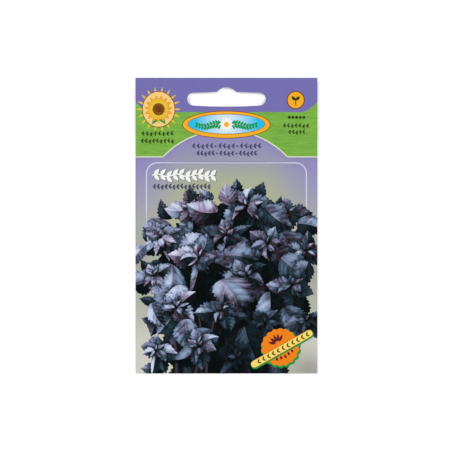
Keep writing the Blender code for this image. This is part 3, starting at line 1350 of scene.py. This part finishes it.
front_print = printed_paper("front print on satin paper")
paper_core = raw_paper("raw paper edge and inside")
print(f"the front print's material has {len(front_print.node_tree.nodes)} nodes")

# %% [markdown]
# ## The front sheet
# The inked surface becomes a sheet of paper with a Solidify modifier, which gives the cut edges and
# the inside a second material. The result is made a plain mesh. Its texture map is laid flat: the
# printed face fills most of the square, the inside is smaller beside it, and the cut edge gets a
# narrow strip, so that nothing shares a place on the map.

# %% Give a sheet its thickness
CRISP_ANGLE = math.radians(40)


def plain_mesh_of(thing, name):
    """What the modifiers make of an object, as a new object with a plain mesh."""
    bpy.context.view_layer.update()
    graph = bpy.context.evaluated_depsgraph_get()
    mesh = bpy.data.meshes.new_from_object(thing.evaluated_get(graph))
    bpy.data.objects.remove(thing)
    mesh.name = name
    return add_object(name, mesh)


def thick_sheet(mesh, print_material):
    mesh.materials.append(print_material)
    mesh.materials.append(paper_core)
    mesh.shade_smooth()
    name = mesh.name
    thin = add_object(name + " thin", mesh)
    solid = thin.modifiers.new("paper thickness", "SOLIDIFY")
    solid.thickness = PAPER * MM
    solid.offset = -1
    solid.material_offset = 1
    solid.material_offset_rim = 1
    sheet = plain_mesh_of(thin, name)
    sheet.data.set_sharp_from_angle(angle=CRISP_ANGLE)
    return sheet


# %% Its texture map, as shares of the map's side
MAP_NAME = "OFBake"
MAP_MARGIN = 0.01
PRINT_SCALE = 0.98 / HEIGHT
INSIDE_SCALE = 0.36 / WIDTH
INSIDE_LEFT = 0.62
INSIDE_SQUEEZE = 0.98
EDGE_LEFT = 0.985
EDGE_SCALE = 0.002
EDGE_SPAN = 0.9
EDGE_SLANT = 0.04


def lay_map(mesh):
    """Texture coordinates: the print, then the inside, then the cut edge."""
    uv_layer = mesh.uv_layers.new(name=MAP_NAME)
    facing = 1 if sum(face.normal.z for face in mesh.polygons if face.material_index == 0) > 0 else -1
    for face in mesh.polygons:
        is_edge = face.material_index == 1 and abs(face.normal.z) < 0.5
        for loop in face.loop_indices:
            x, y, z = mesh.vertices[mesh.loops[loop].vertex_index].co / MM
            if is_edge:
                across = EDGE_LEFT + EDGE_SCALE * (z - PRINT_HEIGHT)
                up = 0.5 + EDGE_SPAN * y / HEIGHT + EDGE_SLANT * x / WIDTH
            elif face.material_index == 0:
                across = MAP_MARGIN + (facing * x + SIDE) * PRINT_SCALE
                up = MAP_MARGIN + (y + TOP) * PRINT_SCALE
            else:
                across = INSIDE_LEFT + (SIDE - facing * x) * INSIDE_SCALE * INSIDE_SQUEEZE
                up = MAP_MARGIN + (y + TOP) * INSIDE_SCALE
            uv_layer.data[loop].uv = (across, up)


# %% The front sheet
front = thick_sheet(sheet_mesh("printed_front", layers, front_face), front_print)
lay_map(front.data)
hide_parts("front_panel")
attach(front, "root")
print(f"front sheet: {len(front.data.polygons)} faces")

# %% [markdown]
# ## The back of the packet
# The photograph shows no back, so this one is a plain design in the front's colours: a violet
# header with the same slot, a green band, a framed panel with a drawn basil sprig, four round
# pictures for sun, water, depth and thinning out, a sowing calendar, and a blank stamp field. It is
# drawn as seen from behind, and the mesh helper mirrors it.

# %% Ground, header and panel of the back
PALE = ink(232, 231, 238)
PANEL = ink(246, 245, 240)
LILAC = ink(176, 170, 214)
PANEL_SIDE = 34.5
PANEL_TOP = 33
PANEL_FOOT = -59
PANEL_CORNER = 4.8
PANEL_LINE = 0.4
HEADER_FOOT = 41
HEADER_BOW = 4
BAND_HEIGHT = 3.6
back_layers = layers = []


def round_box(left, low, right, high, corner):
    return [
        *arc((right - corner, low + corner), corner, -90, 0, 6),
        *arc((right - corner, high - corner), corner, 0, 90, 6),
        *arc((left + corner, high - corner), corner, 90, 180, 6),
        *arc((left + corner, low + corner), corner, 180, 270, 6),
    ]


header_foot = []
for i in range(31):
    header_foot.append((-far + 2 * far * i / 30, HEADER_FOOT + HEADER_BOW * math.sin(math.pi * i / 30)))
band_foot = [(x, y - BAND_HEIGHT) for x, y in header_foot]
lay(whole_sheet, PALE)
lay([*band_foot, *header_foot[::-1]], LEAF_GREEN, texture=1)
lay([*header_foot, *whole_sheet[2:]], VIOLET)
lay(stroke(header_foot, HAIRLINE_WIDTH), HAIRLINE)
for inset, colour in ((0, LILAC), (PANEL_LINE, PANEL)):
    side = PANEL_SIDE - inset
    lay(round_box(-side, PANEL_FOOT + inset, side, PANEL_TOP - inset, PANEL_CORNER - inset), colour)

# %% [markdown]
# The drawn sprig shows the plant as a gardener knows it: crossed pairs of leaves up a stem, each
# pair smaller than the one below, with a flower spike on top. The same leaf helper as on the front
# draws it, so the two sides belong together.

# %% The basil sprig
SPRIG_FOOT = (-23, -7)
stem_path = [(SPRIG_FOOT[0] + 0.8 * math.sin(0.5 * i), SPRIG_FOOT[1] + 3.0 * i) for i in range(13)]
lay(stroke(stem_path, 0.8, 1), ink(92, 60, 84))
for pair in range(5):
    stalks = stem_path[2 + 2 * pair]
    size = 8.6 - 1.1 * pair
    for way in (-1, 1):
        heading = math.pi / 2 - way * (1.15 - 0.12 * pair)
        basil_leaf(stalks, heading, size, 0.36, 1.0, fold=0.3, wine=0.35)
    basil_leaf(shifted(stalks, 0, -0.4), math.pi / 2 + 0.2, size * 0.55, 0.34, 1.1, fold=0.3, wine=0.5)
for i in range(7):
    for way in (-1, 1):
        spot = (stem_path[-1][0] + way * (0.95 - 0.1 * i), stem_path[-1][1] - 2.5 + 0.85 * i)
        lay(oval(spot, 0.62, 0.42, 10), LILAC)
count_shapes("the sprig")

# %% Rows of leaves beside the sprig
ROW_ENDS = (30, 30, 22, 30, 30, 26, 30, 30, 15)
for row, end in enumerate(ROW_ENDS):
    garland(-9, end, 27.4 - 3.9 * row, 1.7, DARK_VIOLET, 1.5)

# %% [markdown]
# ## Pictures and calendar
# Four round fields carry one small drawing each, made from ovals, leaves and strokes. Below them
# runs the calendar: three rows of twelve boxes, coloured where one sows, plants out and picks.

# %% What the four round pictures show
EARTH = ink(128, 88, 56)
LAWN = ink(214, 232, 196)
PICTURE_RADIUS = 5.8


def sun(middle):
    petal_ring(middle, 12, 2.9, 4.7, 0.9, AMBER)
    lay(disc(middle, 2.3, 24), AMBER)


def water_drop(middle):
    lay([shifted(middle, 0, 4.2), *arc(shifted(middle, 0, -1.2), 2.5, 160, 380, 16)], SKY)


def earth(middle):
    lay(arc(middle, PICTURE_RADIUS, 195, 345, 20), EARTH)


def sowing_depth(middle):
    earth(middle)
    lay(oval(shifted(middle, 0, -3.2), 1.0, 0.7, 14), PALE_AMBER)
    for way in (-1, 1):
        mark = [shifted(middle, 3.4 * way, -3.2), shifted(middle, 3.4 * way, 3)]
        lay(stroke(mark, 0.35), DARK_VIOLET)


def thinning_out(middle):
    earth(middle)
    for way in (-1, 1):
        foot = shifted(middle, 2.4 * way, -1.6)
        lay(stroke([foot, shifted(foot, 0, 2.6)], 0.35), EMERALD)
        for heading in (0.7, math.pi - 0.7):
            lay(simple_leaf(shifted(foot, 0, 2), heading, 2.3, 1.2), EMERALD)


# %% Four round pictures in a row
PICTURES = ((PALE_AMBER, sun), (PALE_SKY, water_drop), (PALE_SKY, sowing_depth), (LAWN, thinning_out))
for k, (field_colour, draw) in enumerate(PICTURES):
    middle = (-25.2 + 16.8 * k, -17.5)
    lay(disc(middle, 6.2), VIOLET)
    lay(disc(middle, PICTURE_RADIUS), field_colour)
    draw(middle)
count_shapes("the round pictures")

# %% Sowing calendar and stamp field
CALENDAR_LEFT = -31
CALENDAR_TOP = -32.2
CALENDAR_STEP = 62 / 12
# the ink of each row, and its first and last coloured month, counted from 0
CALENDAR_ROWS = ((EMERALD, 2, 4), (AMBER, 4, 6), (VIOLET, 6, 9))
for row, (colour, first, last) in enumerate(CALENDAR_ROWS):
    low = CALENDAR_TOP - 4.4 * row
    for month in range(12):
        left = CALENDAR_LEFT + CALENDAR_STEP * month
        month_box = round_box(left + 0.3, low, left + CALENDAR_STEP - 0.3, low + 3.6, 0.7)
        lay(month_box, colour if first <= month <= last else PALE)
lay(round_box(3, -56.5, 31, -44.5, 1.2), LILAC)
lay(round_box(3.35, -56.15, 30.65, -44.85, 0.9), WHITE)
for row in range(3):
    garland(-31, -3 - 4 * row, -46.2 - 4.0 * row, 1.7, DARK_VIOLET, 1.5)
count_shapes("the calendar, which is all of the back")

# %% The back sheet
back_print = printed_paper("back print on satin paper")
back = thick_sheet(sheet_mesh("printed_back", back_layers, back_face, mirror=-1), back_print)
lay_map(back.data)
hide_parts("back_panel")
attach(back, "root")
print(f"back sheet: {len(back.data.polygons)} faces")

# %% [markdown]
# ## The seeds inside
# Basil seeds are small black-brown nutlets. The real packet holds a couple of hundred, loose in the
# pocket, and nobody sees them, but whoever cuts the model open should find them. A patch with the
# shape of the pocket's floor carries the points, and Geometry Nodes scatter seeds on it: never
# nearer than a seed's width, each turned and tilted at random, in a lower and a smaller upper layer.

# %% One seed, and the floor it lies on
SEED_LENGTH = 2.1
SEED_WIDTH = 1.45
SEED_THICK = 1.15
SEED_TAPER = 0.25
CHARGE = (0, -22)
RINGS = 5
SPOKES = 32


def mesh_from(shape, name):
    mesh = bpy.data.meshes.new(name)
    shape.to_mesh(mesh)
    shape.free()
    return mesh


def seed_shape():
    """An egg with a blunt and a narrow end, of few faces because it is repeated."""
    shape = bmesh.new()
    bmesh.ops.create_icosphere(shape, subdivisions=2, radius=0.5)
    for vertex in shape.verts:
        x, y, z = vertex.co
        taper = 1 - SEED_TAPER * x
        vertex.co = Vector((x * SEED_LENGTH, y * SEED_WIDTH * taper, z * SEED_THICK * taper)) * MM
    mesh = mesh_from(shape, "one seed")
    mesh.shade_smooth()
    return bpy.data.objects.new("one seed", mesh)


def seed_floor(seed_layers):
    """Ovals that follow the pocket's floor at the height of a seed's middle, one for each layer."""
    shape = bmesh.new()
    for reach_x, reach_y, above in seed_layers:
        places = []
        for ring in range(1, RINGS + 1):
            places += oval(CHARGE, reach_x * ring / RINGS, reach_y * ring / RINGS, SPOKES)
        corners = []
        for x, y in [*places, CHARGE]:
            corners.append(shape.verts.new(Vector((x, y, back_face(x, y) + PAPER + above)) * MM))
        loops = [corners[SPOKES * ring : SPOKES * (ring + 1)] for ring in range(RINGS)]
        for i in range(SPOKES):
            after = (i + 1) % SPOKES
            shape.faces.new((corners[-1], loops[0][i], loops[0][after]))
            for inner, outer in zip(loops, loops[1:]):
                shape.faces.new((inner[i], outer[i], outer[after], inner[after]))
    return mesh_from(shape, "seeds")


# %% [markdown]
# A basil seed is black brown with a finely pitted skin. Two noises give that: a fine one for the
# pits, which also makes the bump and the uneven sheen, and a coarse one for the paler patches.

# %% The seed coat
SEED_DARK = ink(44, 38, 34)
SEED_BROWN = ink(74, 54, 40)
SEED_PALE = ink(110, 92, 72)


def seed_coat():
    material, tree, shader = new_material("seed coat")
    pits = noise_value(tree, 3.5, 5)
    patches = noise_value(tree, 1.1, 2).step(0.5, 0.66)
    colour = mix_colours(tree, patches, SEED_DARK, SEED_BROWN)
    colour = mix_colours(tree, pits.step(0.55, 0.8) * 0.5, colour, SEED_PALE)
    feed(tree, shader, {"Base Color": colour, "Roughness": pits * 0.25 + 0.45})
    add_bump(tree, shader, pits, 0.05 * MM, 0.7)
    return material


# %% [markdown]
# The tree takes the floor, the seed, how near two seeds may come, how far a seed tilts, how small
# the smallest one is beside the largest, and the number that shuffles them. It spreads points,
# stands a seed on each, and ends in real meshes with the coat on them.

# %% The scattering tree
DENSEST = 3e6
SCATTER_INPUTS = {
    "Floor": "Geometry",
    "Seed": "Object",
    "Spacing": "Float",
    "Tilt": "Float",
    "Smallest": "Float",
    "Shuffle": "Int",
    "Coat": "Material",
}


def new_scatter_tree():
    """An empty tree with its named inputs, and the identifier of each."""
    tree = bpy.data.node_groups.new("scatter seeds", "GeometryNodeTree")
    names = {}
    for name, kind in SCATTER_INPUTS.items():
        socket = tree.interface.new_socket(name, in_out="INPUT", socket_type="NodeSocket" + kind)
        names[name] = socket.identifier
    tree.interface.new_socket("Seeds", in_out="OUTPUT", socket_type="NodeSocketGeometry")
    return tree, names


# %% Points on the floor, and how each seed is turned and sized
# the sockets of the Random Value node that are for one number
LEAST, MOST, NUMBER = 2, 3, 1


def scattered_points(tree, given):
    inputs = {
        "Mesh": given["Floor"],
        "Distance Min": given["Spacing"],
        "Density Max": DENSEST,
        "Seed": given["Shuffle"],
    }
    return output_of(tree, "GeometryNodeDistributePointsOnFaces", inputs, distribute_method="POISSON")


def random_turn(tree, given):
    """Any turn about the upright, and a tilt of either sign about the other two axes."""
    tilt = given["Tilt"]
    other_way = output_of(tree, "ShaderNodeMath", {0: tilt, 1: -1}, operation="MULTIPLY")
    least = output_of(tree, "ShaderNodeCombineXYZ", {"X": other_way, "Y": other_way})
    most = output_of(tree, "ShaderNodeCombineXYZ", {"X": tilt, "Y": tilt, "Z": 2 * math.pi})
    inputs = {0: least, 1: most, "Seed": given["Shuffle"]}
    return output_of(tree, "FunctionNodeRandomValue", inputs, data_type="FLOAT_VECTOR")


def random_size(tree, given):
    inputs = {LEAST: given["Smallest"], MOST: 1, "Seed": given["Shuffle"]}
    return output_of(tree, "FunctionNodeRandomValue", inputs, NUMBER, data_type="FLOAT")


# %% From points to real seeds with their coat on
def scatter_tree():
    tree, names = new_scatter_tree()
    given = add_node(tree, "NodeGroupInput").outputs
    seeds = output_of(tree, "GeometryNodeInstanceOnPoints", {
        "Points": scattered_points(tree, given),
        "Instance": output_of(tree, "GeometryNodeObjectInfo", {"Object": given["Seed"]}, "Geometry"),
        "Rotation": random_turn(tree, given),
        "Scale": random_size(tree, given),
    })
    real = output_of(tree, "GeometryNodeRealizeInstances", {"Geometry": seeds})
    coated = output_of(tree, "GeometryNodeSetMaterial", {"Geometry": real, "Material": given["Coat"]})
    feed(tree, add_node(tree, "NodeGroupOutput"), {"Seeds": coated})
    return tree, names


# %% Scatter the seeds
# reach across and along of each layer's oval, and the height of a seed's middle above the paper
SEED_LAYERS = ((16, 11, 0.75), (9, 6, 1.95))
pattern_seed = seed_shape()
scatter_values = {
    "Seed": pattern_seed,
    "Spacing": 1.95 * MM,
    "Tilt": math.radians(9),
    "Smallest": 0.82,
    "Shuffle": 5,
    "Coat": seed_coat(),
}
holder = add_object("seed floor", seed_floor(SEED_LAYERS))
tree, names = scatter_tree()
scattering = holder.modifiers.new("scatter seeds", "NODES")
scattering.node_group = tree
for name, value in scatter_values.items():
    scattering[names[name]] = value
seeds = plain_mesh_of(holder, "loose_seeds")
bpy.data.objects.remove(pattern_seed)
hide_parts("seeds")
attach(seeds, "root")
print(f"seeds: {len(seeds.data.polygons) // 80}")

# %% [markdown]
# ## Floor and light
# The packet lies on a plain white table under broad soft lights from the sides, as on a copy stand:
# from straight above they leave no glare on the coating. The room is white round the horizon and
# dim overhead, for the same reason. The table glows a little, as a light table does, which keeps
# the packet's shadow pale.

# %% The table, in metres
TABLE_REACH = 6
TABLE_WHITE = 0.93
TABLE_ROUGHNESS = 0.9
TABLE_GLOW = 0.18


def white_table():
    shape = bmesh.new()
    bmesh.ops.create_grid(shape, x_segments=1, y_segments=1, size=TABLE_REACH)
    mesh = mesh_from(shape, "table")
    material, tree, shader = new_material("white table")
    feed(tree, shader, {
        "Base Color": (TABLE_WHITE,) * 3,
        "Roughness": TABLE_ROUGHNESS,
        "Emission Color": (1, 1, 1),
        "Emission Strength": TABLE_GLOW,
    })
    mesh.materials.append(material)
    add_object("table", mesh)


white_table()

# %% The lamps
LAMP_SPREAD = math.radians(30)
# where each lamp stands, seen from the packet, and its strength
LAMPS = {
    "left light": ((-0.85, 0.5, 0.7), 2.4),
    "right light": ((0.95, 0.15, 0.7), 1.9),
    "foot light": ((-0.1, -1.0, 0.7), 1.35),
}


def soft_sun(name, towards, strength):
    """A broad light from one side of the sky, which lights the whole table evenly."""
    lamp = bpy.data.lights.new(name, "SUN")
    lamp.angle = LAMP_SPREAD
    lamp.energy = strength
    lamp_object = add_object(name, lamp)
    lamp_object.location = Vector(towards)
    lamp_object.rotation_euler = (-Vector(towards)).to_track_quat("-Z", "Y").to_euler()


for name, (towards, strength) in LAMPS.items():
    soft_sun(name, towards, strength)
print(f"{len(LAMPS)} lamps")

# %% The room
HORIZON = 0.95
OVERHEAD = 0.05


def white_room():
    world = bpy.data.worlds.new("white room")
    world.use_nodes = True
    tree = world.node_tree
    up = parts_of(tree, output_of(tree, "ShaderNodeTexCoord", {}, "Generated"))[2]
    colour = mix_colours(tree, up.step(0.02, 0.45), (HORIZON,) * 3, (OVERHEAD,) * 3)
    feed(tree, tree.nodes["Background"], {"Color": colour})
    bpy.context.scene.world = world


white_room()
bpy.context.scene.view_settings.view_transform = "Standard"
